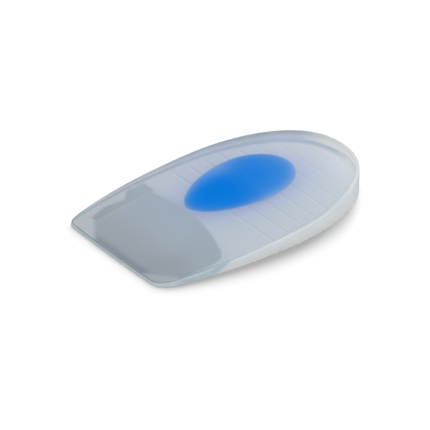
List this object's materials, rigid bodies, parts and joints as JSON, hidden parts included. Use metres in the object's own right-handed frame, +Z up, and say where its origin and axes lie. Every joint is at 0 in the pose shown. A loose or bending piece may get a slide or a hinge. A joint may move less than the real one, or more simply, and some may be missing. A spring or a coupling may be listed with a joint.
{
  "type": "heel cushion",
  "caption": "Clear silicone heel wedge with a rounded heel end, a thin straight front edge, cross grooves beneath and an oval blue soft plug off the centre line, laid in a shoe under the heel.",
  "frame": {"origin": "on the flat underside, at the middle of the length and the width", "axes": "+X across the foot, +Y towards the back of the heel, +Z up through the thickness"},
  "size_m": [0.0692, 0.109, 0.0097],
  "materials": {
    "clear_gel": "translucent satin",
    "blue_gel": "satin"
  },
  "bodies": {
    "root": {"gel_body": "clear_gel", "soft_insert": "blue_gel"}
  },
  "joints": []
}
